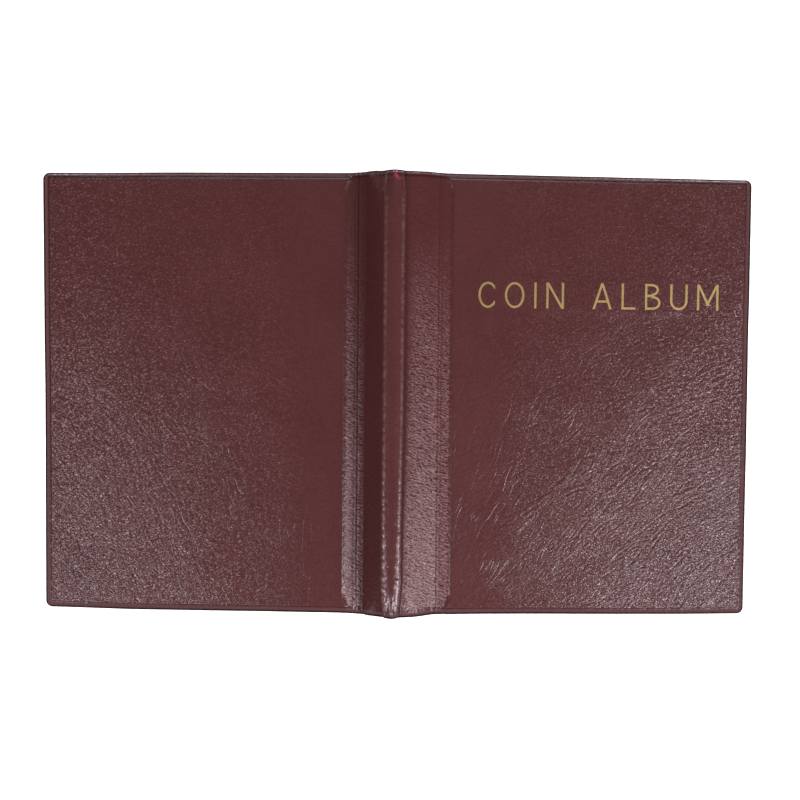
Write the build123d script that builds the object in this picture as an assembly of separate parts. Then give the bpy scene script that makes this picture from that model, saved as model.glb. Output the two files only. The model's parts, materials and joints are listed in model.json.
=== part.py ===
"""Coin album lying open, face down: leatherette covers over boards, a tented spine and ten pocket leaves.

Frame: +X towards the front cover, +Y towards the head of the album, +Z up, z = 0 on the table.
Sizes are in millimetres.
"""

import math
import os

from build123d import *

# Covers
COVER_HEIGHT = 142.0  # head to tail
COVER_WIDTH = 101.8  # hinge line to fore edge
SKIN = 0.8  # outer leatherette
LINING = 0.4  # inner sheet
BOARD = 1.2  # stiffener between them
RIM = 1.9  # welded margin round the board
RIM_STEP = 0.4  # how far the rim lies below the padded panel
CORNER = 2.2
HINGE_STRIP = 3.0  # unstiffened sheet beside the hinge line
RAMP = 1.0  # run over which the sheet climbs onto the board
BOARD_PLAY = 0.15

# Spine
RIDGE_WIDTH = 7.0  # between the two ridge folds
RIDGE_RISE = 0.8  # crown of the ridge above its edges
FLANK = 13.2  # fold to hinge line
BACK_FLANK_DROP = 49.9  # degrees below level, as it lies
FRONT_FLANK_DROP = 31.9
WELT = 0.15  # how far a fold's welt stands proud of the sheet
FOLD_GAP = 0.05  # running clearance round a welt
HINGE_RISE = 3.3  # back hinge line above the leaves it lies on

# Leaves
LEAVES = 10
LEAF_HEIGHT = 132.0
LEAF_BACKING = 0.14
POCKET_FILM = 0.12
LEAF_GAP = 0.04  # air between stacked leaves
TAB = 0.56  # bound margin with its spacer
TAB_WELT = 0.06
TAB_GAP = 0.02
BINDING_DEPTH = 5.6
BINDING_DROP = 1.0  # top of the bound margins below the ridge folds
LEAF_INSET = 2.8  # leaves short of the covers' fore edge, album shut
LEAF_CORNER = 3.0
LEAF_MARGIN = 4.5  # hinge to first pocket on the shortest leaf
LEAF_EDGE = 1.0
POCKET_COLUMNS = 3
POCKET_ROWS = 4
MOUTH = 0.5  # slit that a coin goes in by
MOUTH_INSET = 1.5
COVER_CLEAR = 0.05  # back cover above the top leaf
SHUT_HALF = 8.0  # hinge line to middle plane, album shut

# Title
FOIL = 0.05
CAP = 8.4
STROKE = 0.75
LETTER_GAP = 3.2
WORD_GAP = 9.4
TITLE_UP = 32.5  # above mid height

SHEET = SKIN + LINING
PANEL = SKIN + BOARD + LINING
WELT_R = SHEET / 2 + WELT
SOCKET_R = WELT_R + FOLD_GAP
LEAF_THICK = LEAF_BACKING + POCKET_FILM
LEAF_PITCH = LEAF_THICK + LEAF_GAP
TAB_WELT_R = LEAF_BACKING / 2 + TAB_WELT
TAB_SOCKET_R = TAB_WELT_R + TAB_GAP


def leaf_hinge(k):
    """x from the ridge's middle, and z, of leaf k's hinge line (k = 0 is the leaf next to the front cover)."""
    x = ((LEAVES - 1) / 2 - k) * TAB
    z = LEAF_BACKING / 2 + POCKET_FILM + k * LEAF_PITCH
    return x, z


def drop_to_point(run, fall, depth):
    """Slope in degrees of a line through the origin whose parallel, depth below it, meets (run, -fall)."""
    return math.degrees(math.atan2(fall, run) - math.asin(depth / math.hypot(run, fall)))


STACK_TOP = leaf_hinge(LEAVES - 1)[1] + LEAF_BACKING / 2
BACK_HINGE_Z = STACK_TOP + COVER_CLEAR + PANEL / 2 + HINGE_RISE
FOLD_X = RIDGE_WIDTH / 2
FOLD_Z = BACK_HINGE_Z + FLANK * math.sin(math.radians(BACK_FLANK_DROP))
BACK_HINGE_X = FOLD_X + FLANK * math.cos(math.radians(BACK_FLANK_DROP))
FRONT_HINGE_X = FOLD_X + FLANK * math.cos(math.radians(FRONT_FLANK_DROP))
FRONT_HINGE_Z = FOLD_Z - FLANK * math.sin(math.radians(FRONT_FLANK_DROP))
SHUT_HINGE_Z = FOLD_Z - math.sqrt(FLANK**2 - (SHUT_HALF - FOLD_X) ** 2)
LEAF_END_Z = SHUT_HINGE_Z - COVER_WIDTH + LEAF_INSET


def leaf_length(k):
    """Hinge line to fore edge, so that all the fore edges line up with the album shut."""
    return leaf_hinge(k)[1] - LEAF_END_Z


TOP_LEAF_REACH = leaf_length(LEAVES - 1) - leaf_hinge(LEAVES - 1)[0] - BACK_HINGE_X
BACK_DROP = drop_to_point(TOP_LEAF_REACH, BACK_HINGE_Z - STACK_TOP - COVER_CLEAR, PANEL / 2)
FRONT_DROP = math.degrees(
    math.asin(FRONT_HINGE_Z / math.hypot(COVER_WIDTH, PANEL / 2)) - math.atan2(PANEL / 2, COVER_WIDTH)
)


def reach(hinge_x, drop):
    """How far a cover's fore edge lies from the ridge's middle."""
    a = math.radians(drop)
    return hinge_x + COVER_WIDTH * math.cos(a) + (PANEL / 2 - RIM_STEP) * math.sin(a)


RIDGE_X = (reach(BACK_HINGE_X, BACK_DROP) - reach(FRONT_HINGE_X, FRONT_DROP)) / 2


def prism(points, length):
    """Solid with the outline (out, up) and the given length along Y, centred."""
    outline = Polyline(*[(u, 0, w) for u, w in points], close=True)
    return extrude(make_face(outline), length / 2, dir=(0, 1, 0), both=True)


def rod(x, z, radius, length):
    """Cylinder along Y."""
    return Pos(x, 0, z) * Rot(90, 0, 0) * Cylinder(radius, length)


def block(x0, x1, z0, z1, length):
    """Box between two x and two z values, centred on Y."""
    return Pos((x0 + x1) / 2, 0, (z0 + z1) / 2) * Box(x1 - x0, length, z1 - z0)


def lay(shape, side, x, z, drop):
    """Puts a piece drawn outwards along +X from its hinge line onto the back (-1) or front (+1) side."""
    if side < 0:
        shape = mirror(shape, about=Plane.YZ)
    return Pos(RIDGE_X + side * x, 0, z) * Rot(0, side * drop, 0) * shape


def export(shape, name):
    export_step(shape, f"parts/{name}.step")


def ridge_arc(radius, half_width, low):
    """Crowned bar along Y: the part of a cylinder under the ridge above a level."""
    centre = FOLD_Z + 0.6 * (SKIN + LINING / 2) + RIDGE_RISE - crown_radius()
    bar = rod(0, centre, radius, COVER_HEIGHT)
    return bar & block(-half_width, half_width, low, FOLD_Z + 2 * radius, COVER_HEIGHT)


def crown_radius():
    """Radius of the ridge's outer face, from its width and rise."""
    return (FOLD_X**2 + RIDGE_RISE**2) / (2 * RIDGE_RISE)


def spine_ridge_skin():
    outer = crown_radius()
    low = FOLD_Z - SHEET
    skin = ridge_arc(outer, FOLD_X, low) - ridge_arc(outer - SKIN, FOLD_X * 2, low - 1)
    for side in (-1, 1):
        skin += rod(side * FOLD_X, FOLD_Z, WELT_R, COVER_HEIGHT)
    return Pos(RIDGE_X, 0, 0) * skin


def spine_ridge_lining():
    outer = crown_radius() - SKIN
    half = FOLD_X - WELT_R - FOLD_GAP
    low = FOLD_Z - SHEET
    lining = ridge_arc(outer, half, low) - ridge_arc(outer - LINING, half * 2, low - 1)
    return Pos(RIDGE_X, 0, 0) * lining


def binding_half():
    return LEAVES * TAB / 2


def spine_binding_strip():
    """Filler that joins the bound margins to the ridge's lining."""
    low = FOLD_Z - BINDING_DROP
    half = min(binding_half(), FOLD_X - WELT_R - FOLD_GAP)
    strip = ridge_arc(crown_radius() - SHEET, half, low)
    strip &= block(-half, half, low, low + 10 * SHEET, LEAF_HEIGHT)
    return Pos(RIDGE_X, 0, 0) * strip


def leaf_tab(k):
    """Bound margin of one leaf: the welded spacer, the film below it and the welt it folds on."""
    x, z = leaf_hinge(k)
    top = FOLD_Z - BINDING_DROP
    film = LEAF_BACKING / 2
    tab = block(x - TAB / 2, x + TAB / 2, top - BINDING_DEPTH, top, LEAF_HEIGHT)
    tab += block(x - film, x + film, z, top - BINDING_DEPTH / 2, LEAF_HEIGHT)
    tab += rod(x, z, TAB_WELT_R, LEAF_HEIGHT)
    return Pos(RIDGE_X, 0, 0) * tab


def flank_layer(low, high):
    """One layer of the sheet between a ridge fold and a hinge line, hollowed round both welts."""
    sheet = block(0, FLANK, low, high, COVER_HEIGHT)
    for u in (0, FLANK):
        sheet -= rod(u, 0, SOCKET_R, COVER_HEIGHT * 2)
    return sheet


def flank_skin():
    return flank_layer(SHEET / 2 - SKIN, SHEET / 2)


def flank_lining():
    return flank_layer(-SHEET / 2, SHEET / 2 - SKIN)


def cover_skin():
    """Outer sheet with its hinge welt, the climb onto the board and the welded rim."""
    seam = SHEET / 2 - SKIN  # where skin and lining meet
    under = LINING - PANEL / 2
    top = PANEL / 2
    foot = HINGE_STRIP + RAMP
    inside = COVER_WIDTH - RIM
    shell = prism(
        [
            (0, SHEET / 2),
            (HINGE_STRIP, SHEET / 2),
            (foot, top),
            (COVER_WIDTH, top),
            (COVER_WIDTH, under),
            (foot, under),
            (HINGE_STRIP, seam),
            (0, seam),
        ],
        COVER_HEIGHT,
    )
    shell = fillet(shell.edges().filter_by(Axis.Z).group_by(Axis.X)[-1], CORNER)
    step = block(HINGE_STRIP, COVER_WIDTH + 1, top - RIM_STEP, top + 1, COVER_HEIGHT + 2)
    step -= block(HINGE_STRIP, inside, top - 2 * RIM_STEP, top + 2, COVER_HEIGHT - 2 * RIM)
    shell -= step
    shell -= prism(
        [
            (HINGE_STRIP, seam),
            (foot, top - SKIN),
            (inside, top - SKIN),
            (inside, under),
            (foot, under),
        ],
        COVER_HEIGHT - 2 * RIM,
    )
    return shell + rod(0, 0, WELT_R, COVER_HEIGHT)


def cover_board():
    """Stiffening board, a little smaller than the pocket that it lies in."""
    foot = HINGE_STRIP + RAMP + BOARD_PLAY
    end = COVER_WIDTH - RIM - BOARD_PLAY
    low = LINING - PANEL / 2
    board = block(foot, end, low, low + BOARD, COVER_HEIGHT - 2 * RIM - 2 * BOARD_PLAY)
    return fillet(board.edges().filter_by(Axis.Z), CORNER / 2)


def cover_lining():
    seam = SHEET / 2 - SKIN
    foot = HINGE_STRIP + RAMP
    start = WELT_R + FOLD_GAP
    lining = prism(
        [
            (start, seam),
            (HINGE_STRIP, seam),
            (foot, LINING - PANEL / 2),
            (COVER_WIDTH, LINING - PANEL / 2),
            (COVER_WIDTH, -PANEL / 2),
            (foot, -PANEL / 2),
            (HINGE_STRIP, -SHEET / 2),
            (start, -SHEET / 2),
        ],
        COVER_HEIGHT,
    )
    return fillet(lining.edges().filter_by(Axis.Z).group_by(Axis.X)[-1], CORNER)


def bar(x0, y0, x1, y1, width):
    """Straight stroke of a letter."""
    length = math.hypot(x1 - x0, y1 - y0)
    turn = math.degrees(math.atan2(y1 - y0, x1 - x0))
    return Pos((x0 + x1) / 2, (y0 + y1) / 2) * Rot(0, 0, turn) * Rectangle(length, width)


def ring(x, y, rx, ry):
    """Oval stroke of a letter."""
    return Pos(x, y) * (Ellipse(rx, ry) - Ellipse(rx - STROKE, ry - STROKE))


def keep(shape, x0, x1, y0, y1):
    """The part of a letter inside a rectangle."""
    return shape & (Pos((x0 + x1) / 2, (y0 + y1) / 2) * Rectangle(x1 - x0, y1 - y0))


def post(x, y0=0.0, y1=CAP):
    return Pos(x, (y0 + y1) / 2) * Rectangle(STROKE, y1 - y0)


def slant(x0, y0, x1, y1):
    """Sloping stroke cut off level with the foot and head of the letters."""
    dx = (x1 - x0) * 0.2
    dy = (y1 - y0) * 0.2
    stroke = bar(x0 - dx, y0 - dy, x1 + dx, y1 + dy, STROKE)
    return keep(stroke, min(x0, x1) - 5, max(x0, x1) + 5, 0, CAP)


def letter(sign):
    """Sketch of a capital standing on y = 0, and its width."""
    s = STROKE
    if sign == "C":
        return keep(ring(3.1, CAP / 2, 3.1, CAP / 2), 0, 3.6, 0, CAP) + keep(
            ring(3.1, CAP / 2, 3.1, CAP / 2), 3.5, 5.4, 0, CAP
        ) - Pos(5.0, CAP / 2) * Rectangle(3.0, CAP * 0.45), 5.4
    if sign == "O":
        return ring(3.2, CAP / 2, 3.2, CAP / 2), 6.4
    if sign == "I":
        return post(s / 2), s
    if sign == "N":
        return post(s / 2) + post(5.8 - s / 2) + slant(s * 0.6, CAP, 5.8 - s * 0.6, 0), 5.8
    if sign == "A":
        legs = slant(s * 0.55, 0, 3.2, CAP) + slant(6.4 - s * 0.55, 0, 3.2, CAP)
        return legs + bar(1.3, CAP * 0.3, 5.1, CAP * 0.3, s), 6.4
    if sign == "L":
        return post(s / 2) + bar(0, s / 2, 4.6, s / 2, s), 4.6
    if sign == "B":
        low = keep(ring(2.4, CAP * 0.27, 2.8, CAP * 0.27), 2.2, 5.3, 0, CAP)
        high = keep(ring(2.2, CAP * 0.77, 2.4, CAP * 0.23), 2.2, 5.3, 0, CAP)
        arms = bar(0, s / 2, 2.4, s / 2, s) + bar(0, CAP - s / 2, 2.4, CAP - s / 2, s)
        return post(s / 2) + low + high + arms + bar(0, CAP * 0.54, 2.4, CAP * 0.54, s), 5.2
    if sign == "U":
        bowl = keep(ring(2.9, 2.9, 2.9, 2.9), 0, 5.8, 0, 2.9)
        return bowl + post(s / 2, 2.8) + post(5.8 - s / 2, 2.8), 5.8
    inner = slant(s * 0.6, CAP, 3.6, CAP * 0.25) + slant(7.2 - s * 0.6, CAP, 3.6, CAP * 0.25)
    inner = keep(inner, 0, 7.2, CAP * 0.18, CAP)
    return post(s / 2) + post(7.2 - s / 2) + inner, 7.2


def title_foil():
    """Stamped title in plain capitals, set across the front cover."""
    drawn = [[letter(sign) for sign in word] for word in ("COIN", "ALBUM")]
    width = sum(wide for word in drawn for _, wide in word) + WORD_GAP
    width += LETTER_GAP * sum(len(word) - 1 for word in drawn)
    x = (COVER_WIDTH + HINGE_STRIP + RAMP - RIM - width) / 2
    solids = []
    for word in drawn:
        for shape, wide in word:
            placed = Pos(x, TITLE_UP - CAP / 2, PANEL / 2) * shape
            solids += extrude(placed, FOIL).solids()
            x += wide + LETTER_GAP
        x += WORD_GAP - LETTER_GAP
    return Compound(children=solids)


def leaf_outline(k, start):
    """Rectangle in the leaf's plane from a distance out to the fore edge, its outer corners rounded."""
    end = leaf_length(k)
    plate = block(start, end, -0.5, 0.5, LEAF_HEIGHT)
    return fillet(plate.edges().filter_by(Axis.Z).group_by(Axis.X)[-1], LEAF_CORNER)


def leaf_backing(k):
    half = LEAF_BACKING / 2
    sheet = leaf_outline(k, 0) & block(-1, leaf_length(k) + 1, -half, half, LEAF_HEIGHT)
    return sheet - rod(0, 0, TAB_SOCKET_R, LEAF_HEIGHT * 2)


def pocket_pitch():
    return (leaf_length(0) - LEAF_MARGIN - LEAF_EDGE) / POCKET_COLUMNS


def leaf_pockets(k):
    """Clear film welded to the leaf in rows of pockets, each with a slit across its mouth."""
    across = pocket_pitch()
    down = LEAF_HEIGHT / POCKET_ROWS
    first = leaf_length(k) - LEAF_EDGE - POCKET_COLUMNS * across
    high = -LEAF_BACKING / 2
    film = leaf_outline(k, first - LEAF_EDGE)
    film &= block(first - LEAF_EDGE, leaf_length(k) + 1, high - POCKET_FILM, high, LEAF_HEIGHT)
    for row in range(POCKET_ROWS):
        y = LEAF_HEIGHT / 2 - row * down - MOUTH_INSET
        for column in range(POCKET_COLUMNS):
            u = first + (column + 0.5) * across
            film -= Pos(u, y, high) * Box(across * 0.9, MOUTH, 1)
    return film


def main():
    os.makedirs("parts", exist_ok=True)
    export(spine_ridge_skin(), "spine_ridge_skin")
    export(spine_ridge_lining(), "spine_ridge_lining")
    export(spine_binding_strip(), "spine_binding_strip")
    sides = (
        ("back", -1, BACK_HINGE_X, BACK_HINGE_Z, BACK_FLANK_DROP, BACK_DROP),
        ("front", 1, FRONT_HINGE_X, FRONT_HINGE_Z, FRONT_FLANK_DROP, FRONT_DROP),
    )
    for name, side, x, z, flank_drop, drop in sides:
        export(lay(flank_skin(), side, FOLD_X, FOLD_Z, flank_drop), f"{name}_spine_skin")
        export(lay(flank_lining(), side, FOLD_X, FOLD_Z, flank_drop), f"{name}_spine_lining")
        export(lay(cover_skin(), side, x, z, drop), f"{name}_cover_skin")
        export(lay(cover_board(), side, x, z, drop), f"{name}_cover_board")
        export(lay(cover_lining(), side, x, z, drop), f"{name}_cover_lining")
    export(lay(title_foil(), 1, FRONT_HINGE_X, FRONT_HINGE_Z, FRONT_DROP), "front_title_foil")
    for k in range(LEAVES):
        x, z = leaf_hinge(k)
        export(leaf_tab(k), f"leaf_{k + 1:02d}_tab")
        export(lay(leaf_backing(k), -1, -x, z, 0), f"leaf_{k + 1:02d}_backing")
        export(lay(leaf_pockets(k), -1, -x, z, 0), f"leaf_{k + 1:02d}_pockets")


main()
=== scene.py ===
"""Coin album lying open, face down: detailed leatherette covers and spine, pocket leaves and foil title."""

import json
import math

import bpy
import numpy as np
from mathutils import Matrix


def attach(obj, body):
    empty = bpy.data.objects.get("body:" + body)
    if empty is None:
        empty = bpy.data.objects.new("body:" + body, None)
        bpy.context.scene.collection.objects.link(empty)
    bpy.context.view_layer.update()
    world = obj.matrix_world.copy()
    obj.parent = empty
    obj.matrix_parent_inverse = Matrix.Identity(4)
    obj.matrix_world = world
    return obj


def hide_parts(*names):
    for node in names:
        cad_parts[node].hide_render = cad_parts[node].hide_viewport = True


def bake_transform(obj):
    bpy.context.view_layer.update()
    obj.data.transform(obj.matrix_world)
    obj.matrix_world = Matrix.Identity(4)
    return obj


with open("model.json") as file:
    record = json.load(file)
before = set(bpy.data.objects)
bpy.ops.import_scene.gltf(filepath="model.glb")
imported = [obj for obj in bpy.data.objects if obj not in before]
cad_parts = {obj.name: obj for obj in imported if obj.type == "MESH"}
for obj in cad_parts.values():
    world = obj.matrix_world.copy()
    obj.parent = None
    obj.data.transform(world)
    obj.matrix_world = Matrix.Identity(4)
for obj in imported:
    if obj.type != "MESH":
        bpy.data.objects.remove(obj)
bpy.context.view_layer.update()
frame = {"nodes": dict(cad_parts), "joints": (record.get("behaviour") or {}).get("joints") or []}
NODES = frame["nodes"]
JOINTS = {j["name"]: j for j in frame["joints"]}
MM = 0.001

# Sizes of the sheet and its parts, in millimetres
HALF_Y = 71.0  # half the album's height
COVER = 101.8  # hinge line to fore edge
SKIN = 0.8  # outer leatherette
LINING = 0.4  # inner leatherette
SHEET = 1.2  # the two welded together
PANEL = 2.4  # a whole cover
CROWN = 0.8  # how far the middle of the ridge stands over its edges
CORNER = 2.2
STRIP = 3.0  # bare sheet between a hinge line and the cover's board
PUCKER = 3.4  # from one pucker of the ridge's edge to the next
EDGE = 2.55  # from the ridge's middle to its puckered edge, at the head
COVER_DROP = {-1: math.radians(2.1665), 1: math.radians(5.3189)}  # slope of the covers as they lie
FLOOR_Z = -0.112  # in metres, low enough for the covers to hang down shut


def pivot(name):
    """A joint's x and z in millimetres."""
    x, _, z = JOINTS[name]["pos_m"]
    return np.array([x, z]) / MM


FOLD = {-1: pivot("back_spine_fold"), 1: pivot("front_spine_fold")}
HINGE = {-1: pivot("back_cover_hinge"), 1: pivot("front_cover_hinge")}
RIDGE_X = (FOLD[-1][0] + FOLD[1][0]) / 2
RIDGE_HALF = (FOLD[1][0] - FOLD[-1][0]) / 2
FLANK = float(np.linalg.norm(HINGE[1] - FOLD[1]))
GROOVE = RIDGE_HALF + FLANK  # along the sheet from the ridge's middle to the hinge line
END = GROOVE + COVER  # to the fore edge


def smooth(x, low, high):
    """0 below low, 1 above high, and an S between them."""
    t = np.clip((np.asarray(x, float) - low) / (high - low), 0, 1)
    return t * t * (3 - 2 * t)


def bump(x, centre, width):
    """1 at the centre, falling off over width."""
    return np.exp(-(((x - centre) / width) ** 2))


# ---------------------------------------------------------------- the sheet's path


FIRST = {-1: 2.6, 1: 3.0}  # where the sheet starts to turn down beside the ridge
LEVEL = {-1: 2.1, 1: 1.0}  # how far before the hinge line it is as flat as the cover
FOOT = math.radians(54)  # slope of the foot beside the ridge
BEND = 0.9  # how far past the hinge line the sheet still bends
BACK_ON_PATH = 4.5  # how far beyond a puckered edge the sheet is on its path again


def bends(side, flank):
    """Where the sheet turns, and its slope there: the ridge's edge, the steep foot, the flank, the flat hinge strip."""
    foot = max(flank, FOOT)
    first = FIRST[side]
    low = GROOVE - LEVEL[side]
    where = [first - 0.1, first + 0.7, first + 1.5, first + 2.8, low - 1.5, low, GROOVE + BEND]
    return where, [0, foot, foot, flank, flank, COVER_DROP[side] + 0.02, COVER_DROP[side]]


def make_path(side):
    """Sampled distance, x, z and slope along the sheet's middle line, from the ridge's middle out."""
    s = np.linspace(0, END + 2, 24001)
    far = np.searchsorted(s, GROOVE + BEND)
    drop = COVER_DROP[side]
    want = np.array([abs(HINGE[side][0] - RIDGE_X) + BEND * math.cos(drop), HINGE[side][1] - BEND * math.sin(drop)])
    sloped = (s > FIRST[side]) & (s < GROOVE - 2)

    def trace(values):
        """The path for a slope of the flank and a stretch of its length."""
        angle = np.interp(s, *bends(side, values[0]))
        step = np.diff(s, prepend=0) * np.where(sloped, values[1], 1)
        return np.cumsum(np.cos(angle) * step), FOLD[side][1] - np.cumsum(np.sin(angle) * step), angle

    def miss(values):
        """How far the path passes from the cover's place."""
        x, z, _ = trace(values)
        return np.array([x[far], z[far]]) - want

    values = np.array([math.radians(50.0 if side < 0 else 30.0), 1.0])
    tiny = 1e-4
    for _ in range(12):
        now = miss(values)
        slopes = np.stack([(miss(values + d) - now) / tiny for d in np.eye(2) * tiny], 1)
        values = values - np.linalg.solve(slopes, now)
    x, z, angle = trace(values)
    return s, x, z, angle


PATHS = {side: make_path(side) for side in (-1, 1)}


def edge_of_ridge(s, y):
    """Distance from the ridge's middle to its puckered edge on that side."""
    back = EDGE - 0.6 * smooth(-y, 30, 72)
    front = EDGE - 1.15 * smooth(-y, -10, 85)
    wave = 0.08 * np.cos(2 * math.pi * y / PUCKER + np.where(s < 0, 0.4, 2.1))
    return np.where(s < 0, back, front) + wave


def wander(s, y):
    """How far the hand-trimmed edges stray outwards, along the sheet and along y."""
    tail = 0.45 * smooth(s, -END, -85) * (1 - smooth(s, -12, -4)) + 0.35 * bump(s, -14, 4.5) + 0.15 * bump(s, 10, 5)
    tail = tail + 0.85 * smooth(s, 25, 110)
    head = 0.28 * smooth(s, -105, -70) * (1 - smooth(s, -10, -4)) + 0.4 * bump(s, -13, 4.5) + 0.28 * bump(s, 13, 5)
    ends = np.where(y < 0, tail, head) * smooth(np.abs(y), 45, HALF_Y)
    fore = np.where(s < 0, 0.6 * smooth(y, -30, 80), 0.5) * smooth(np.abs(s), END - 40, END)
    return np.sign(s) * fore, np.sign(y) * ends


def place(s, y, h):
    """Points in metres from signed distance along the sheet, y and height over its middle line.

    The sheet's turn beside the ridge is moved to the puckered edge, which isn't straight.
    """
    out_s, out_y = wander(s, y)
    s, y = s + out_s, y + out_y
    a = np.abs(s)
    edge = edge_of_ridge(s, y)
    fold = np.where(s < 0, FIRST[-1], FIRST[1]) + 0.25
    near = smooth(a, 0, edge) * (1 - smooth(a, edge, edge + BACK_ON_PATH))
    a = a + (fold - edge) * near
    out = np.zeros(np.broadcast(s, y, h).shape + (3,))
    side = np.where(s < 0, -1.0, 1.0)
    x, z, g = (
        np.where(s < 0, np.interp(a, PATHS[-1][0], PATHS[-1][k]), np.interp(a, PATHS[1][0], PATHS[1][k]))
        for k in (1, 2, 3)
    )
    out[..., 0] = RIDGE_X + side * (x + h * np.sin(g) + (edge - fold) * near)
    out[..., 1] = y
    out[..., 2] = z + h * np.cos(g)
    return out * MM


# ---------------------------------------------------------------- creases, drawn on a fine raster per side

CELL = 0.2  # of the raster, in millimetres
CREASE_STEP = 0.8
RASTER_S = np.arange(0, END + CELL, CELL)
RASTER_Y = np.arange(-HALF_Y, HALF_Y + CELL, CELL)


def field(width, seed):
    """Smooth random field on the raster, unit deviation, with features about width mm."""
    r = np.random.default_rng(seed)
    raw = np.fft.rfft2(r.standard_normal((len(RASTER_S), len(RASTER_Y))))
    fs = np.fft.fftfreq(len(RASTER_S), CELL)[:, None]
    fy = np.fft.rfftfreq(len(RASTER_Y), CELL)[None, :]
    raw *= np.exp(-0.5 * ((fs * width * 2.2) ** 2 + (fy * width * 2.2) ** 2))
    out = np.fft.irfft2(raw, (len(RASTER_S), len(RASTER_Y)))
    return out / out.std()


def draw_stroke(target, points, depth, width):
    """Cuts a crease with raised lips along a polyline of (s, y)."""
    n = len(points)
    taper = np.sin(np.linspace(0.12, math.pi - 0.12, n)) ** 0.7
    reach = 3.2 * width
    for k in range(n - 1):
        a, b = points[k], points[k + 1]
        low = np.minimum(a, b) - reach
        high = np.maximum(a, b) + reach
        i0, i1 = np.clip(((low[0], high[0]) / np.array(CELL)).astype(int), 0, len(RASTER_S))
        j0, j1 = np.clip(((low[1] + HALF_Y, high[1] + HALF_Y) / np.array(CELL)).astype(int), 0, len(RASTER_Y))
        if i1 <= i0 or j1 <= j0:
            continue
        gs = RASTER_S[i0:i1, None]
        gy = RASTER_Y[None, j0:j1]
        d = b - a
        t = np.clip(((gs - a[0]) * d[0] + (gy - a[1]) * d[1]) / max(d @ d, 1e-9), 0, 1)
        r = np.hypot(gs - a[0] - t * d[0], gy - a[1] - t * d[1])
        amount = depth * (taper[k] * (1 - t) + taper[k + 1] * t)
        dent = -amount * np.exp(-((r / width) ** 2))
        lip = 0.45 * amount * np.exp(-(((r - 1.7 * width) / width) ** 2))
        part = target[i0:i1, j0:j1]
        cut = np.minimum(part, dent)
        target[i0:i1, j0:j1] = np.where(dent < -0.35 * amount, cut, np.maximum(part, lip) + np.minimum(part, 0))


def stroke_points(start, length, heading, wiggle, r):
    """Polyline that follows a heading function and wiggles."""
    p = np.array(start, float)
    out = [p.copy()]
    drift = 0.0
    for _ in range(max(4, int(length / CREASE_STEP))):
        drift = 0.85 * drift + wiggle * r.standard_normal()
        a = heading(p[0], p[1]) + drift
        p = p + CREASE_STEP * np.array([math.cos(a), math.sin(a)])
        out.append(p.copy())
    return np.array(out)


def back_heading(s, y):
    """Direction of the creases on the back cover; s runs towards the fore edge."""
    u = (s - GROOVE) / COVER
    steep = float(smooth(-y, -30, 35))
    return math.radians(8 + steep * (62 + 18 * (1 - u)))


def front_heading(s, y):
    """The same on the front cover."""
    u = (s - GROOVE) / COVER
    low = float(smooth(-y, 0, 60))
    return math.radians(16 + 58 * (1 - u) * low + 26 * low * u + 8 * math.sin(y / 17))


def draw_creases(side):
    """Raster of one side's creases: on the cover, more and deeper towards the fore edge and tail, then on the flank."""
    target = np.zeros((len(RASTER_S), len(RASTER_Y)))
    r = np.random.default_rng(911 + side)
    heading = back_heading if side < 0 else front_heading
    for _ in range(420):
        u = COVER * r.random() ** 0.62
        y = HALF_Y * (2 * r.random() - 1)
        outer = float(smooth(u, 12, 75))
        low = float(smooth(-y, -45, 45))
        strength = (0.25 + 0.75 * outer) * (0.3 + 0.7 * low)
        if r.random() > 0.25 + 0.75 * strength:
            continue
        length = 4 + (6 + 22 * strength) * r.random()
        depth = (0.025 + 0.06 * strength) * (0.5 + r.random())
        if side < 0:
            depth *= 0.8
        points = stroke_points((GROOVE + u, y), length, heading, 0.10, r)
        draw_stroke(target, points, depth, 0.3 + 0.12 * r.random())
    for _ in range(70):
        s = RIDGE_HALF + 1.5 + (FLANK - 3) * r.random()
        y = -HALF_Y + 2 + 136 * r.random() ** 1.6
        a = 0.35 * r.standard_normal()
        points = stroke_points((s - 2, y), 2 + 4 * r.random(), lambda s, y: a, 0.15, r)
        draw_stroke(target, points, 0.06 * (0.5 + r.random()), 0.28)
    return target


CREASE = {side: draw_creases(side) for side in (-1, 1)}
PEBBLE, SWELL, RIPPLE = (
    {side: field(width, seed + side) for side in (-1, 1)} for width, seed in ((0.55, 40), (14, 60), (2.4, 80))
)


def sample(raster, s, y):
    """Bilinear value of a side's raster at signed s and y."""
    a = np.clip(np.abs(s) / CELL, 0, len(RASTER_S) - 1.001)
    b = np.clip((y + HALF_Y) / CELL, 0, len(RASTER_Y) - 1.001)
    i, j = a.astype(int), b.astype(int)
    f, g = a - i, b - j
    out = np.zeros(np.shape(a))
    for side in (-1, 1):
        m = raster[side]
        v = (m[i, j] * (1 - f) + m[i + 1, j] * f) * (1 - g) + (m[i, j + 1] * (1 - f) + m[i + 1, j + 1] * f) * g
        out = np.where((s < 0) == (side < 0), v, out)
    return out


# ---------------------------------------------------------------- heights of the outer sheet


def strip_stop(y):
    """Where the bare strip beside the hinge line ends, which is nearer at the head and tail."""
    return GROOVE + STRIP - 1.6 * smooth(np.abs(y), 64.5, 70.5)


def on_panel(a, y):
    """1 on the stiffened panel and 0 on the bare sheet."""
    start = strip_stop(y)
    return smooth(a, start, start + 1.5)


def title_patch(s, y):
    """1 where the title is stamped, where the sheet is pressed flat."""
    u = s - GROOVE
    return smooth(u, 6, 10) * (1 - smooth(u, 94, 98)) * smooth(y, 25, 28) * (1 - smooth(y, 37, 40))


def dots(s, y):
    """1 in the small pits inside the puckered edges."""
    near = (y / PUCKER + 0.5) % 1.0 - 0.5
    return np.exp(-((near * PUCKER / 0.4) ** 2)) * bump(np.abs(s), edge_of_ridge(s, y) - 0.7, 0.28)


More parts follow.
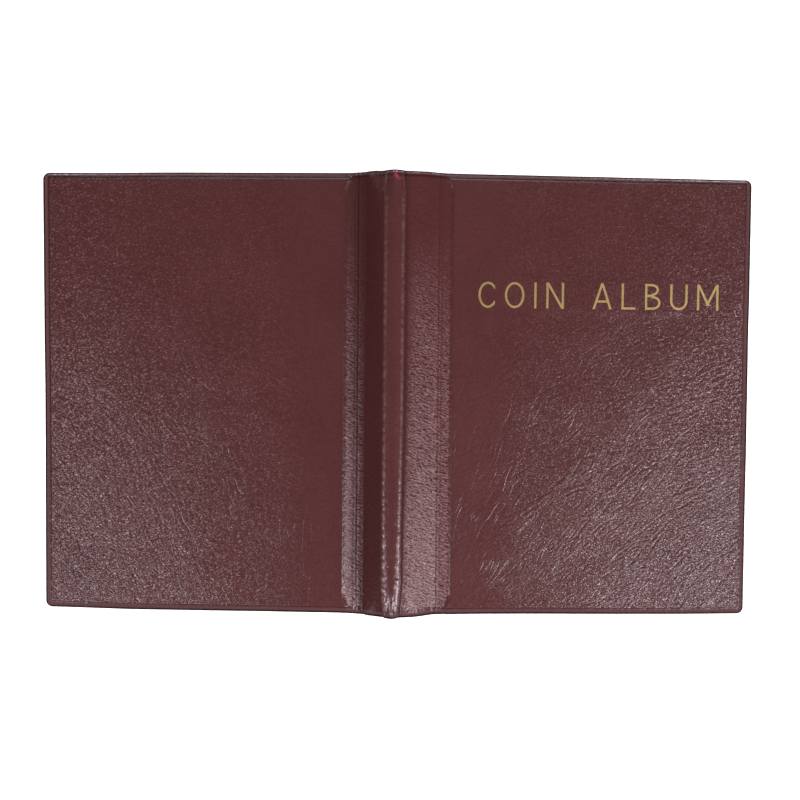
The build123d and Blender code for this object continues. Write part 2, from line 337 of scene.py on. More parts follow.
def sag(s, y):
    """How far the ridge's edges dip at its two ends."""
    a = np.abs(s)
    edge = edge_of_ridge(s, y)
    return 1.2 * smooth(np.abs(y), 60, 73) * smooth(a, 0, edge) * (1 - smooth(a, edge, 9))


def puckers(s, y):
    """How much of the puckered edges is left near the head, how worn they are, and their wave."""
    wave = 0.5 + 0.5 * np.cos(2 * math.pi * y / PUCKER + 0.9 * sample(RIPPLE, s, y))
    return 1 - smooth(y, 58, 67), 0.25 + 0.95 * smooth(-y, 10, 62), wave


def top_height(s, y):
    """Outer face's height over the middle line of the sheet."""
    a = np.abs(s)
    panel = on_panel(a, y)
    h = SHEET / 2 + (PANEL - SHEET) / 2 * panel
    ridge = 1 - smooth(a, RIDGE_HALF + 0.2, RIDGE_HALF + 1.6)
    h = h + CROWN * np.clip(1 - (a / RIDGE_HALF) ** 2, 0, 1)
    h = h - sag(s, y)

    pebble, ripple, crease = sample(PEBBLE, s, y), sample(RIPPLE, s, y), sample(CREASE, s, y)
    fade, worn, wave = puckers(s, y)
    weld = bump(a, edge_of_ridge(s, y) - 0.1, 0.3 + 0.25 * smooth(-y, 45, 68))
    h = h + fade * weld * (0.08 + np.where(s < 0, 0.16, 0.1) * worn * wave + 0.05 * worn * pebble)
    h = h - fade * 0.09 * worn * dots(s, y)
    h = h + ridge * 0.03 * ripple * smooth(-y, 20, 68)

    h = h + 0.16 * bump(a, GROOVE, 0.24) - 0.11 * bump(a, GROOVE - 0.6, 0.26) - 0.11 * bump(a, GROOVE + 0.6, 0.26)
    h = h + (1 - panel) * (1 - ridge) * (0.035 * pebble + 0.02 * ripple)
    flat = np.where(s > 0, title_patch(s, y), 0)
    swell = 0.07 * sample(SWELL, s, y) * smooth(a, GROOVE + 6, GROOVE + 18)
    h = h + panel * (1 - flat) * (0.016 * pebble + swell)
    return h + (1 - 0.8 * flat) * (1 - ridge) * np.where(flat > 0.5, np.minimum(crease, 0), crease)


def bottom_height(s, y):
    """Under face's height: on the bare sheet, and over the lining at a panel's walls."""
    a = np.abs(s)
    panel = on_panel(a, y)
    h = SHEET / 2 - SKIN + (LINING - PANEL / 2 - SHEET / 2 + SKIN) * panel
    return h + CROWN * np.clip(1 - (a / RIDGE_HALF) ** 2, 0, 1) - sag(s, y)


# ---------------------------------------------------------------- the grid of the outer sheet

# Rings of the rim: their distance from the edge, at the head too, and how far they stand over the panel and the sheet
RING_P = np.array([2.2, 2.13, 2.05, 1.95, 1.7, 1.35, 1.0, 0.8, 0.62, 0.45, 0.28, 0.12, 0.03, 0.0, 0.0])
RING_HEAD = np.array([2.2, 1.75, 1.45, 1.2, 1.0, 0.82, 0.68, 0.56, 0.45, 0.34, 0.22, 0.1, 0.03, 0.0, 0.0])
RIM_PANEL = np.array([0, -0.14, -0.36, -0.52, -0.58, -0.55, -0.49, -0.42, -0.36, -0.33, -0.36, -0.46, -0.6, -0.8])
RIM_SHEET = np.array([0, 0, -0.02, -0.04, -0.08, -0.1, -0.07, -0.02, 0.04, 0.08, 0.06, -0.04, -0.2, -0.4])
LAST = len(RING_P) - 1


def spread(start, stop, step):
    """Evenly spaced values about a step apart."""
    return np.linspace(start, stop, max(2, int(round((stop - start) / step)) + 1))


def build_columns():
    """Distances along one side with ring numbers; ring 0 is away from the rim."""
    a = np.concatenate(
        [
            spread(0, RIDGE_HALF + 1.2, 0.14)[:-1],
            spread(RIDGE_HALF + 1.2, GROOVE - 1.6, 0.3)[:-1],
            spread(GROOVE - 1.6, GROOVE + 5.0, 0.2)[:-1],
            spread(GROOVE + 5.0, END - CORNER, 0.42),
        ]
    )
    ring = np.zeros(len(a), int)
    a = np.concatenate([a, END - RING_P[1:]])
    ring = np.concatenate([ring, np.arange(1, LAST + 1)])
    s = np.concatenate([-a[:0:-1], a])
    return s, np.concatenate([ring[:0:-1], ring])


def build_rows():
    """The same along y."""
    y = spread(-HALF_Y + CORNER, HALF_Y - CORNER, 0.42)
    ring = np.zeros(len(y), int)
    y = np.concatenate([(-HALF_Y + RING_P[1:])[::-1], y, HALF_Y - RING_HEAD[1:]])
    ends = np.arange(1, LAST + 1)
    return y, np.concatenate([ends[::-1], ring, ends])


def outer_sheet():
    """Positions, sheet coordinates and masks of the whole outer sheet as a grid."""
    s0, ring_s = build_columns()
    y0, ring_y = build_rows()
    s = np.repeat(s0[:, None], len(y0), 1)
    y = np.repeat(y0[None, :], len(s0), 0)
    rs = np.repeat(ring_s[:, None], len(y0), 1)
    ry = np.repeat(ring_y[None, :], len(s0), 0)
    corner = (rs > 0) & (ry > 0)
    ring = np.maximum(rs, ry)
    theta = np.arctan2(ry, rs)
    turn = theta / (math.pi / 2)
    p = np.where(y > 0, RING_P[ring] * (1 - turn) + RING_HEAD[ring] * turn, RING_P[ring])
    rho = CORNER - p
    s = np.where(corner, np.sign(s) * (END - CORNER + rho * np.cos(theta)), s)
    y = np.where(corner, np.sign(y) * (HALF_Y - CORNER + rho * np.sin(theta)), y)
    sc = np.clip(s, -END + CORNER, END - CORNER)
    yc = np.clip(y, -HALF_Y + CORNER, HALF_Y - CORNER)
    panel = on_panel(np.abs(s), y)
    wall = ring == LAST
    rim = np.where(ring < LAST, ring, 0)
    h = top_height(sc, yc) + (RIM_SHEET[rim] * (1 - panel) + RIM_PANEL[rim] * panel)
    ripple = 0.02 * sample(RIPPLE, s, y) * (ring > 2) * (ring < 12)
    h = np.where(wall, bottom_height(s, y), h + ripple)
    return {"s": s, "y": y, "h": h, "s0": s0, **finishes(s, y, ring, panel, sample(CREASE, sc, yc))}


def hatching(s, y, ring, foot, welt):
    """How strong the wavy lines beside the welds are, with their painted sheen: more towards the tail, fewer on the
    foot and welt.
    """
    a, back = np.abs(s), s < 0
    where = np.array([-66, -52, -26, 0, 26, 52, 66])
    along_back = np.interp(-y, where, [0, 0.02, 0.16, 0.38, 0.75, 0.95, 0.95])
    along_front = np.interp(-y, where, [0, 0.0, 0.14, 0.28, 0.40, 0.60, 0.58])
    beyond = smooth(a, GROOVE, GROOVE + 0.8)
    across_back = 0.5 + beyond * (0.22 + 0.28 * smooth(a, GROOVE + 1, GROOVE + 3))
    across = np.where(back, across_back, 1 - 0.35 * beyond)
    stop = strip_stop(y) + 0.12 * sample(PEBBLE, s, y)
    hatch_and_sheen = np.where(back, along_back, along_front) * across * (1 - foot) * (1 - smooth(a, stop, stop + 0.5))
    return hatch_and_sheen * (1 - 0.75 * welt) * (1 - smooth(ring, 0, 1.5)) * (1 - smooth(np.abs(y), 68.0, 69.2))


def finishes(s, y, ring, panel, crease):
    """How much grain, crease, painted shade, wear, painted highlight and sheen, and gloss each point has."""
    a, back = np.abs(s), s < 0
    u = np.clip((a - GROOVE) / COVER, 0, 1)  # 0 at the hinge line, 1 at the fore edge
    low = smooth(-y, -60, 60)  # 0 at the head, 1 at the tail
    inside = ring == 0
    outer = smooth(ring, LAST - 6.5, LAST - 4)
    edge = edge_of_ridge(s, y)
    ridge = 1 - smooth(a, RIDGE_HALF - 0.2, RIDGE_HALF + 0.6)
    foot = np.where(back, smooth(GROOVE - a, 0.6, 3.4), 1 - smooth(a - edge, 0.8, 6.5))
    welt = bump(a, GROOVE - 0.5, 0.24) + bump(a, GROOVE + 0.5, 0.24)
    fade, worn, wave = puckers(s, y)
    pebble = sample(PEBBLE, s, y)

    grain = panel * (0.12 + 0.13 * smooth(u, 0.05, 0.3) + 0.3 * u * low + 0.08 * smooth(u, 0.4, 1))
    grain = grain + (1 - panel) * (1 - ridge) * 0.15 + 0.15 * ridge
    grain = grain * (1 - 0.9 * smooth(ring, 0, 1.5))

    crumple_back = (0.1 + 0.8 * low) * (0.35 + 0.65 * smooth(u, 0.1, 0.7))
    crumple_front = (0.35 + 0.65 * low) * (0.35 + 0.65 * smooth(u, 0.05, 0.6))
    crumple_front = crumple_front * (1 - 0.85 * title_patch(s, y))
    crumple = np.where(back, crumple_back, crumple_front) * panel * inside

    # Painted shade, which is below zero: in creases and pits, beside the front's puckered edge, in the rim's groove and
    # at its outer edge, and on the back flank; the whole rim and the welt are a little darker too
    crease = crease * inside - np.where(back, 0.2, 0.05) * fade * worn * dots(s, y)
    crease = crease - np.where(back, 0.0, 0.07) * bump(a, edge + 1.1, 0.8)
    rim_shade = smooth(ring, 0.5, 1.5) * (0.03 + 0.09 * (1 - smooth(ring, 3, 4.5)))
    crease = crease - 0.6 * outer - rim_shade
    crease = crease - 0.02 * welt * inside * (a > GROOVE - 1.5)
    crease = crease - np.where(back, 0.03, 0.0) * foot * (1 - ridge) * inside

    # Rubbed, paler puckered edges: partly wear, partly painted highlight; and a painted highlight along the rim's bead
    wide = 0.24 + 0.36 * smooth(-y, 42, 66)
    rub_and_highlight = bump(a, edge - 0.1, wide) * np.where(back, 0.25 + 0.4 * wave, 0.36 + 0.3 * wave)
    rub_and_highlight = rub_and_highlight * fade * worn * np.clip(0.6 + 0.35 * pebble, 0, 1) * (1 - smooth(-y, 60, 69.5))
    rub_and_highlight = np.maximum(rub_and_highlight, 0.10 * smooth(ring, 3, 5) * (1 - outer))

    dull_back = foot * smooth(a, edge, edge + 0.5)
    dull = np.where(back, dull_back, 0.8 * smooth(a, edge + 0.4, edge + 1.2))
    gloss = (1 - 0.8 * (1 - panel) * np.maximum(dull, bump(a, edge + 0.9, 0.7))) * (1 - 0.7 * outer)

    fray = bump(s, 0.9, 1.1) * smooth(y, 67.3, 69.5) * np.clip(0.2 + 0.7 * pebble, 0, 1)
    around, along = u * COVER - np.where(back, 20, -12), y + np.where(back, 120, 96)
    fan = np.stack([np.hypot(around, along), 62 * np.arctan2(along, around), np.where(back, 40.0, 0.0)], 2)
    return {
        "grain": grain,
        "crease": crease,
        "crumple": crumple,
        "rub_and_highlight": rub_and_highlight,
        "fray": fray,
        "gloss": gloss,
        "hatch_and_sheen": hatching(s, y, ring, foot, welt),
        "fan": fan,
    }


SHEETS = outer_sheet()
POINTS = place(SHEETS["s"], SHEETS["y"], SHEETS["h"])


def grid_normals(p):
    """Unit normals of a grid of points."""
    du = np.gradient(p, axis=0)
    dv = np.gradient(p, axis=1)
    n = np.cross(du, dv)
    return n / np.maximum(np.linalg.norm(n, axis=2, keepdims=True), 1e-12)


NORMALS = grid_normals(POINTS)


def new_object(name, verts, faces, smooth_faces=True):
    """A mesh object in the scene."""
    mesh = bpy.data.meshes.new(name)
    mesh.from_pydata([tuple(v) for v in verts], [], faces)
    mesh.validate()
    if smooth_faces:
        mesh.polygons.foreach_set("use_smooth", [True] * len(mesh.polygons))
    obj = bpy.data.objects.new(name, mesh)
    bpy.context.scene.collection.objects.link(obj)
    return obj


def set_attribute(obj, name, values, kind="FLOAT"):
    """Gives each point of a piece a value that its material reads."""
    layer = obj.data.attributes.new(name, kind, "POINT")
    key = "vector" if kind == "FLOAT_VECTOR" else "value"
    layer.data.foreach_set(key, np.asarray(values, np.float32).ravel())


def skin_piece(name, low, high):
    """Closed piece of the outer sheet between two columns."""
    nc = high - low + 1
    nr = POINTS.shape[1]
    verts = POINTS[low : high + 1].reshape(-1, 3)
    i, j = np.meshgrid(np.arange(nc - 1), np.arange(nr - 1), indexing="ij")
    a = (i * nr + j).ravel()
    quads = np.stack([a, a + nr, a + nr + 1, a + 1], 1)
    k = np.arange(nc - 1) * nr
    under = np.stack([k, k + nr - 1, k + 2 * nr - 1, k + nr], 1)
    faces = quads.tolist() + under.tolist()
    faces.append(list(range(nr)))
    faces.append([(nc - 1) * nr + r for r in range(nr)][::-1])
    obj = new_object(name, verts, faces)
    part = {key: values[low : high + 1] for key, values in SHEETS.items() if key != "s0"}
    set_attribute(obj, "lay", np.stack([part["s"], part["y"], part["h"]], 2), "FLOAT_VECTOR")
    for key in ("grain", "crease", "crumple", "rub_and_highlight", "fray", "gloss", "hatch_and_sheen"):
        set_attribute(obj, key, part[key])
    set_attribute(obj, "fan", part["fan"], "FLOAT_VECTOR")
    normals = NORMALS[low : high + 1].reshape(-1, 3)
    obj.data.normals_split_custom_set_from_vertices([tuple(n) for n in normals])
    return obj


def lining_piece(name, low, high):
    """Closed strip of the inner sheet, under the outer one, between two distances."""
    s = spread(low, high, 0.25)
    verts = []
    ys = spread(-HALF_Y, HALF_Y, 1.0)
    ring = [(y, -0.22) for y in ys] + [(y, -0.58) for y in ys[::-1]]
    y, h = np.array(ring).T
    for d in s:
        crown = CROWN * max(0.0, 1 - (d / RIDGE_HALF) ** 2)
        verts.append(place(np.full(len(ring), float(d)), y, h + crown - sag(float(d), y)))
    n = len(ring)
    faces = []
    for i in range(len(s) - 1):
        for k in range(n):
            m = (k + 1) % n
            faces.append([i * n + k, i * n + m, (i + 1) * n + m, (i + 1) * n + k])
    faces.append(list(range(n))[::-1])
    faces.append([(len(s) - 1) * n + k for k in range(n)])
    obj = new_object(name, np.concatenate(verts), faces, False)
    wear(obj, LINER)
    return obj


def column(s):
    """The grid's column nearest to a distance along the sheet."""
    return int(np.argmin(np.abs(SHEETS["s0"] - s)))


def at(s, h=0.0):
    """Point on the sheet's middle line, in metres."""
    return tuple(place(np.array(float(s)), np.array(0.0), np.array(float(h))))


# ---------------------------------------------------------------- materials


class Nodes:
    """Small helper for node trees."""

    def __init__(self, name):
        self.mat = bpy.data.materials.new(name)
        self.mat.use_nodes = True
        self.tree = self.mat.node_tree
        self.tree.nodes.clear()
        self.out = self.add("ShaderNodeOutputMaterial")
        self.bsdf = self.add("ShaderNodeBsdfPrincipled")
        self.feed(self.bsdf.outputs["BSDF"], self.out, "Surface")

    def add(self, kind, **inputs):
        """A new node with its settings and the values of its inputs."""
        node = self.tree.nodes.new(kind)
        for key, value in inputs.items():
            if hasattr(node, key) and key not in node.inputs:
                setattr(node, key, value)
            else:
                node.inputs[key.replace("_", " ")].default_value = value
        return node

    def feed(self, source, node, into):
        """Sets an input to a number or colour, or links it to an output."""
        if isinstance(source, (int, float)):
            node.inputs[into].default_value = source
        elif isinstance(source, tuple):
            node.inputs[into].default_value = (*source, 1)
        else:
            self.tree.links.new(source, node.inputs[into])

    def surface(self, name, source):
        self.feed(source, self.bsdf, name)

    def attribute(self, name):
        return self.add("ShaderNodeAttribute", attribute_name=name)

    def maths(self, operation, a, b=None, clamp=False):
        node = self.add("ShaderNodeMath", operation=operation, use_clamp=clamp)
        self.feed(a, node, 0)
        if b is not None:
            self.feed(b, node, 1)
        return node.outputs[0]

    def ramp(self, source, low, high):
        """0 below low and 1 above high."""
        node = self.add("ShaderNodeValToRGB")
        self.feed(source, node, 0)
        for stop, position, tone in zip(node.color_ramp.elements, (low, high), (0, 1)):
            stop.position = position
            stop.color = (tone, tone, tone, 1)
        return node.outputs[0]

    def mix(self, factor, a, b):
        node = self.add("ShaderNodeMix", data_type="RGBA")
        for into, source in ((0, factor), (6, a), (7, b)):
            self.feed(source, node, into)
        return node.outputs[2]

    def noise(self, vector, scale, detail=3.0, roughness=0.55):
        node = self.add("ShaderNodeTexNoise", Scale=scale, Detail=detail, Roughness=roughness)
        self.feed(vector, node, "Vector")
        return node.outputs["Fac"]

    def bump(self, height, strength, distance, normal=None):
        node = self.add("ShaderNodeBump", Distance=distance)
        self.feed(strength, node, "Strength")
        self.feed(height, node, "Height")
        if normal is not None:
            self.feed(normal, node, "Normal")
        return node.outputs[0]


def wrinkles(n, vector, stretch, sharp, shift, detail=3.0):
    """Thin winding lines, long where stretch is small, and their shaded side: 1 on a line, 0 away from it."""
    moved = n.add("ShaderNodeMapping", Scale=stretch, Location=(shift, 0.7 * shift, 0))
    n.feed(vector, moved, "Vector")
    v = n.noise(moved.outputs[0], 1.0, detail)
    off = n.maths("ABSOLUTE", n.maths("SUBTRACT", v, 0.5))
    shade = n.maths("ABSOLUTE", n.maths("SUBTRACT", v, 0.5 + 1.3 / sharp))
    return [n.maths("SUBTRACT", 1.0, n.maths("MULTIPLY", d, sharp), True) for d in (off, shade)]


def pebbled_grain(n, lay):
    """Coordinates slanted as the grain is, fine noise, and the grain's height."""
    wobble = n.add("ShaderNodeTexNoise", Scale=0.8)
    n.feed(lay, wobble, "Vector")
    warp = n.add("ShaderNodeVectorMath", operation="MULTIPLY_ADD")
    warp.inputs[1].default_value = (1.3, 1.3, 1.3)
    n.feed(wobble.outputs["Color"], warp, 0)
    n.feed(lay, warp, 2)
    slant = n.add("ShaderNodeMapping", Rotation=(0, 0, math.radians(28)), Scale=(0.95, 1.55, 1))
    n.feed(warp.outputs[0], slant, "Vector")
    pebbles = n.add("ShaderNodeTexVoronoi", feature="DISTANCE_TO_EDGE", Scale=1.0)
    n.feed(slant.outputs[0], pebbles, "Vector")
    cells = n.maths("MULTIPLY", pebbles.outputs["Distance"], 3.2, True)
    fine = n.noise(lay, 1.9, 1.0)
    veins = wrinkles(n, warp.outputs[0], (0.55, 1.0, 1), 9.0, 3.0)[0]
    height = n.maths("ADD", n.maths("MULTIPLY", cells, 0.6), n.maths("MULTIPLY", fine, 0.6))
    height = n.maths("SUBTRACT", height, n.maths("MULTIPLY", veins, 0.35))
    return slant.outputs[0], fine, height


def weld_waves(n, slant, fine, hatch_and_sheen):
    """Height of the wavy lines beside the welds, and the painted sheen on them."""
    lines = n.add("ShaderNodeTexWave", bands_direction="Y", Scale=0.25, Distortion=11.0)
    for key, value in (("Detail", 2.0), ("Detail Scale", 1.5), ("Detail Roughness", 0.6)):
        lines.inputs[key].default_value = value
    n.feed(slant, lines, "Vector")
    waves = n.maths("ADD", n.maths("MULTIPLY", lines.outputs["Fac"], 0.8), n.maths("MULTIPLY", fine, 0.4))
    lift = n.maths("MULTIPLY", n.maths("SUBTRACT", waves, 0.6), n.maths("MULTIPLY", hatch_and_sheen, 6.0, True))
    return waves, n.maths("ADD", n.maths("MULTIPLY", hatch_and_sheen, 0.66), n.maths("MULTIPLY", lift, 0.75), True)


def fine_creases(n, lay, fan, crumple):
    """Creases too fine for the mesh, and the shaded side of each; both bump the surface, and are painted as highlight
    and shade.
    """
    patch = n.ramp(n.noise(lay, 0.07, 2.0), 0.40, 0.62)
    reach = n.maths("MULTIPLY", crumple, patch)
    long = wrinkles(n, fan, (0.04, 0.24, 1), 44.0, 0.0, 1.6)
    short = wrinkles(n, fan, (0.10, 0.5, 1), 22.0, 9.0, 1.6)
    across = wrinkles(n, lay, (0.09, 0.45, 1), 24.0, 5.0, 1.6)
    out = []
    for main, *minor in zip(long, short, across):
        minor = n.maths("MULTIPLY", n.maths("MAXIMUM", *minor), 0.3)
        out.append(n.maths("MULTIPLY", reach, n.maths("MAXIMUM", main, minor)))
    return out


# The leatherette's own colours, then the painted highlight on its crests, wear and painted highlight on its rubbed
# edges, painted shade in its valleys, painted highlight and painted shade at its creases, and its frayed thread
BURGUNDY = (0.084, 0.0240, 0.0238), (0.096, 0.0290, 0.0288)
MOTTLE = (0.070, 0.016, 0.016)
CREST_HIGHLIGHT = (0.36, 0.24, 0.25)
RUB_AND_HIGHLIGHT = (0.50, 0.36, 0.37)
VALLEY_SHADE = (0.040, 0.010, 0.010)
CREASE_HIGHLIGHT = (0.34, 0.23, 0.24)
CREASE_SHADE = (0.018, 0.005, 0.005)
FRAYED = (0.42, 0.06, 0.10)


def leatherette():
    n = Nodes("leatherette")
    lay, fan = (n.attribute(name).outputs["Vector"] for name in ("lay", "fan"))
    grain, crease, crumple, rub_and_highlight, fray, gloss, hatch_and_sheen = (
        n.attribute(name).outputs["Fac"] for name in ("grain", "crease", "crumple", "rub_and_highlight", "fray", "gloss", "hatch_and_sheen")
    )
    slant, fine, height = pebbled_grain(n, lay)
    waves, light = weld_waves(n, slant, fine, hatch_and_sheen)
    lines, shades = fine_creases(n, lay, fan, crumple)

    base = n.mix(n.ramp(n.noise(lay, 0.045, 3.0), 0.3, 0.7), *BURGUNDY)
    base = n.mix(n.maths("MULTIPLY", n.noise(lay, 0.5, 3.0), 0.25), base, MOTTLE)
    # Painted highlight on the grain's crests, stronger where the grain is
    strong = n.maths("SUBTRACT", n.maths("MULTIPLY", grain, 4.4), 0.9, True)
    strong = n.maths("MULTIPLY", strong, n.maths("ADD", n.maths("MULTIPLY", grain, 3.2), 0.3))
    base = n.mix(n.maths("MULTIPLY", n.maths("SUBTRACT", height, 0.56, True), strong, True), base, CREST_HIGHLIGHT)
    # Painted sheen on the wavy lines beside the welds
    base = n.mix(light, base, CREST_HIGHLIGHT)
    # Wear and painted highlight on the rubbed edges, and painted highlight on the rim's bead
    base = n.mix(rub_and_highlight, base, RUB_AND_HIGHLIGHT)
    # Painted shade in the grain's valleys
    valley_shade = n.maths("MULTIPLY", n.maths("SUBTRACT", 0.52, height, True), n.maths("MULTIPLY", grain, 3.0), True)
    base = n.mix(valley_shade, base, VALLEY_SHADE)
    # Painted highlight along the fine creases
    base = n.mix(n.maths("MULTIPLY", lines, 0.1), base, CREASE_HIGHLIGHT)
    # Painted shade in creases, pits and the other dark places, and on the shaded side of the fine creases
    painted_shade = n.maths("ADD", n.maths("MULTIPLY", crease, -5.0, True), n.maths("MULTIPLY", shades, 0.35), True)
    base = n.mix(painted_shade, base, CREASE_SHADE)
    n.surface("Base Color", n.mix(fray, base, FRAYED))

    n.surface("Roughness", n.maths("ADD", 0.29, n.maths("MULTIPLY", n.maths("SUBTRACT", fine, 0.5), 0.25)))
    n.surface("Specular IOR Level", n.maths("MULTIPLY", gloss, 0.42))
    normal = n.bump(height, grain, 0.00018)
    normal = n.bump(waves, n.maths("MULTIPLY", hatch_and_sheen, 0.6, True), 0.00012, normal)
    n.surface("Normal", n.bump(n.maths("SUBTRACT", lines, shades), 0.8, 0.0001, normal))
    return n.mat


def object_vector(n, scale=1000.0):
    """The piece's own coordinates, in millimetres."""
    where = n.add("ShaderNodeTexCoord")
    times = n.add("ShaderNodeVectorMath", operation="SCALE", Scale=scale)
    n.feed(where.outputs["Object"], times, 0)
    return times.outputs[0]


def lining():
    n = Nodes("lining")
    v = object_vector(n)
    tone = n.noise(v, 0.35, 4.0)
    base = n.mix(tone, (0.055, 0.017, 0.016), (0.085, 0.028, 0.027))
    n.surface("Base Color", base)
    rough = n.maths("ADD", 0.42, n.maths("MULTIPLY", n.noise(v, 1.5), 0.2))
    n.surface("Roughness", rough)
    n.surface("Normal", n.bump(n.noise(v, 2.6, 5.0), 0.35, 0.0001))
    return n.mat


def board():
    n = Nodes("grey_board")
    v = object_vector(n)
    fibre = n.noise(v, 1.8, 6.0, 0.7)
    base = n.mix(fibre, (0.20, 0.17, 0.13), (0.36, 0.32, 0.26))
    n.surface("Base Color", base)
    n.surface("Roughness", 0.9)
    n.surface("Normal", n.bump(fibre, 0.5, 0.0001))
    return n.mat


def film(name, low, high, roughness, transmission):
    n = Nodes(name)
    v = object_vector(n)
    haze = n.noise(v, 0.25, 4.0)
    base = n.mix(haze, low, high)
    n.surface("Base Color", base)
    rough = n.maths("ADD", roughness, n.maths("MULTIPLY", n.noise(v, 0.9, 3.0), 0.15))
    n.surface("Roughness", rough)
    n.surface("Transmission Weight", transmission)
    n.surface("Normal", n.bump(n.noise(v, 0.6, 3.0), 0.25, 0.0002))
    return n.mat


def foil():
    n = Nodes("gold_foil")
    v = object_vector(n)
    worn = n.noise(v, 2.2, 5.0, 0.7)
    tone = n.noise(v, 0.6, 2.0)
    gold = n.mix(tone, (0.78, 0.52, 0.17), (0.95, 0.74, 0.36))
    gone = n.ramp(worn, 0.60, 0.68)
    n.surface("Base Color", n.mix(gone, gold, (0.10, 0.04, 0.03)))
    n.surface("Metallic", n.maths("SUBTRACT", 1.0, gone))
    rough = n.maths("ADD", 0.28, n.maths("MULTIPLY", worn, 0.25))
    n.surface("Roughness", rough)
    n.surface("Normal", n.bump(worn, 0.4, 0.00008))
    return n.mat


def floor_material():
    n = Nodes("floor")
    v = object_vector(n, 1.0)
    tone = n.noise(v, 3.0)
    base = n.mix(tone, (0.86, 0.86, 0.86), (0.88, 0.88, 0.88))
    n.surface("Base Color", base)
    n.surface("Roughness", 0.9)
    n.surface("Specular IOR Level", 0.1)
    n.surface("Emission Color", (1, 1, 1))
    n.surface("Emission Strength", 0.8)
    return n.mat


def wear(obj, material):
    """Gives a piece its only material."""
    obj.data.materials.clear()
    obj.data.materials.append(material)


LEATHER = leatherette()
LINER = lining()
BOARD = board()
BACKING = film("frosted_film", (0.70, 0.71, 0.70), (0.80, 0.81, 0.80), 0.35, 0.25)
CLEAR = film("clear_film", (0.82, 0.84, 0.84), (0.90, 0.92, 0.92), 0.08, 0.6)
BINDING = film("welded_film", (0.62, 0.62, 0.60), (0.76, 0.76, 0.74), 0.3, 0.2)
FOIL = foil()

# ---------------------------------------------------------------- skin pieces

# Where the sheet is cut into pieces
RIDGE_CUT = RIDGE_HALF - 0.9
FLANK_IN = RIDGE_HALF + 2.6
FLANK_OUT = GROOVE - 4.2
PANEL_CUT = GROOVE + 4.0


def skin_side(side, word):
    """The outer sheet of one side as pieces: the flank and panel ride on their bodies, the ridge foot and groove stay
    where they are.
    """
    cols = [column(side * c) for c in (RIDGE_CUT, FLANK_IN, FLANK_OUT, PANEL_CUT, END)]
    foot_ends = at(side * (RIDGE_HALF - 0.5)), at(side * (FLANK_IN - 0.5))
    groove_ends = at(side * (FLANK_OUT + 0.9)), at(side * (PANEL_CUT - 0.9))
    made = []
    for k, name in enumerate(("ridge_foot", "flank", "groove", "panel")):
        low, high = sorted(cols[k : k + 2])
        obj = skin_piece(f"{word}_{name}_skin", low, high)
        wear(obj, LEATHER)
        made.append(obj)
    foot, flank, groove, panel = made
    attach(flank, f"{word}_flank")
    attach(panel, f"{word}_cover")
    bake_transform(foot)
    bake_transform(groove)
    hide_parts(f"{word}_cover_skin")
    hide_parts(f"{word}_cover_skin", f"{word}_spine_skin")
    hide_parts(f"{word}_spine_skin")
    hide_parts(f"{word}_spine_skin", "spine_ridge_skin")
    strips = [(RIDGE_CUT, FLANK_IN), (FLANK_IN, FLANK_OUT), (FLANK_OUT, GROOVE - 0.35)]
    for name, ends in zip(("ridge_foot", "flank", "groove"), strips):
        low, high = sorted(side * e for e in ends)
        under = lining_piece(f"{word}_{name}_lining", low, high)
        if name == "ridge_foot":
            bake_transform(under)
        else:
            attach(under, f"{word}_flank")
        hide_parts(f"{word}_spine_lining")


skin_side(-1, "back")
skin_side(1, "front")
ridge = skin_piece("ridge_skin", column(-RIDGE_CUT), column(RIDGE_CUT))
wear(ridge, LEATHER)
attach(ridge, "spine")
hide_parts("spine_ridge_skin")
ridge_under = lining_piece("ridge_lining", -RIDGE_CUT, RIDGE_CUT)
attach(ridge_under, "spine")
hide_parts("spine_ridge_lining")

# ---------------------------------------------------------------- CAD nodes that stay

BY_ENDING = {
    "lining": LINER,
    "board": BOARD,
    "tab": BINDING,
    "strip": BINDING,
    "backing": BACKING,
    "pockets": CLEAR,
    "foil": FOIL,
    "skin": LEATHER,
}
for node, obj in NODES.items():
    wear(obj, BY_ENDING[node.rsplit("_", 1)[1]])

# ---------------------------------------------------------------- floor, light, camera


def make_floor():
    """A wide floor for the stage."""
    half = 3.0
    corners = [(-half, -half, FLOOR_Z), (half, -half, FLOOR_Z), (half, half, FLOOR_Z), (-half, half, FLOOR_Z)]
    obj = new_object("floor", corners, [(0, 1, 2, 3)], False)
    wear(obj, floor_material())


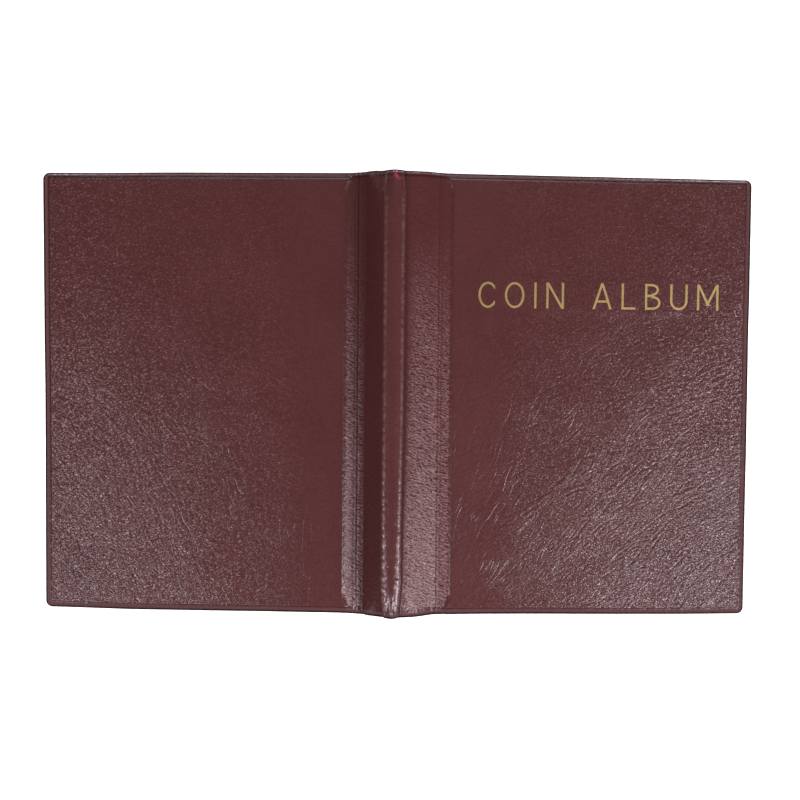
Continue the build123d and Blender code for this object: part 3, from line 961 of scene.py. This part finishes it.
def area_light(name, where, target, size, power, colour=(1, 1, 1)):
    """A rectangular light that faces its target, with its first side level."""
    data = bpy.data.lights.new(name, "AREA")
    data.shape = "RECTANGLE"
    data.size, data.size_y = size
    data.energy = power
    data.color = colour
    obj = bpy.data.objects.new(name, data)
    bpy.context.scene.collection.objects.link(obj)
    z = np.array(where, float) - np.array(target, float)
    z /= np.linalg.norm(z)
    x = np.cross((0, 1, 0), z)
    x /= np.linalg.norm(x)
    y = np.cross(z, x)
    m = Matrix.Identity(4)
    for k in range(3):
        m[k][0], m[k][1], m[k][2], m[k][3] = x[k], y[k], z[k], where[k]
    obj.matrix_world = m


make_floor()
COOL = (0.97, 0.95, 1.0)
area_light("softbox_right", (0.60, -0.40, 0.56), (0.10, -0.05, 0), (0.24, 0.26), 7.0, COOL)
area_light("strip_right", (0.66, -0.52, 0.34), (0.0, -0.02, 0), (0.16, 0.4), 1.6, COOL)
area_light("softbox_left", (-0.52, -0.42, 0.54), (-0.09, -0.05, 0), (0.2, 0.24), 5.0, COOL)
area_light("softbox_head", (0.05, 0.85, 0.65), (0, 0, 0), (0.9, 0.3), 4.0)

world = bpy.data.worlds.new("studio")
bpy.context.scene.world = world
world.use_nodes = True
tree = world.node_tree
background = tree.nodes["Background"]
background.inputs["Color"].default_value = (1, 1, 1, 1)
path = tree.nodes.new("ShaderNodeLightPath")
seen = tree.nodes.new("ShaderNodeMapRange")  # pale where it is seen past the floor, dim as a light
seen.inputs["To Min"].default_value = 0.05
seen.inputs["To Max"].default_value = 0.84
tree.links.new(path.outputs["Is Camera Ray"], seen.inputs["Value"])
tree.links.new(seen.outputs["Result"], background.inputs["Strength"])


def make_camera():
    """The photo's camera, looking down with a slight tilt."""
    data = bpy.data.cameras.new("camera")
    data.sensor_width = 36.0
    data.lens = 54.84
    data.clip_start = 0.01
    obj = bpy.data.objects.new("camera", data)
    bpy.context.scene.collection.objects.link(obj)
    tilt, lean, roll = (math.radians(v) for v in (-2.371, -0.133, 0.520))
    turn = Matrix.Rotation(tilt, 4, "X") @ Matrix.Rotation(lean, 4, "Y") @ Matrix.Rotation(roll, 4, "Z")
    obj.matrix_world = Matrix.Translation((0.0001, 0.01466, 0.40273)) @ turn
    bpy.context.scene.camera = obj


make_camera()
bpy.context.scene.view_settings.view_transform = "Standard"

bpy.context.view_layer.update()
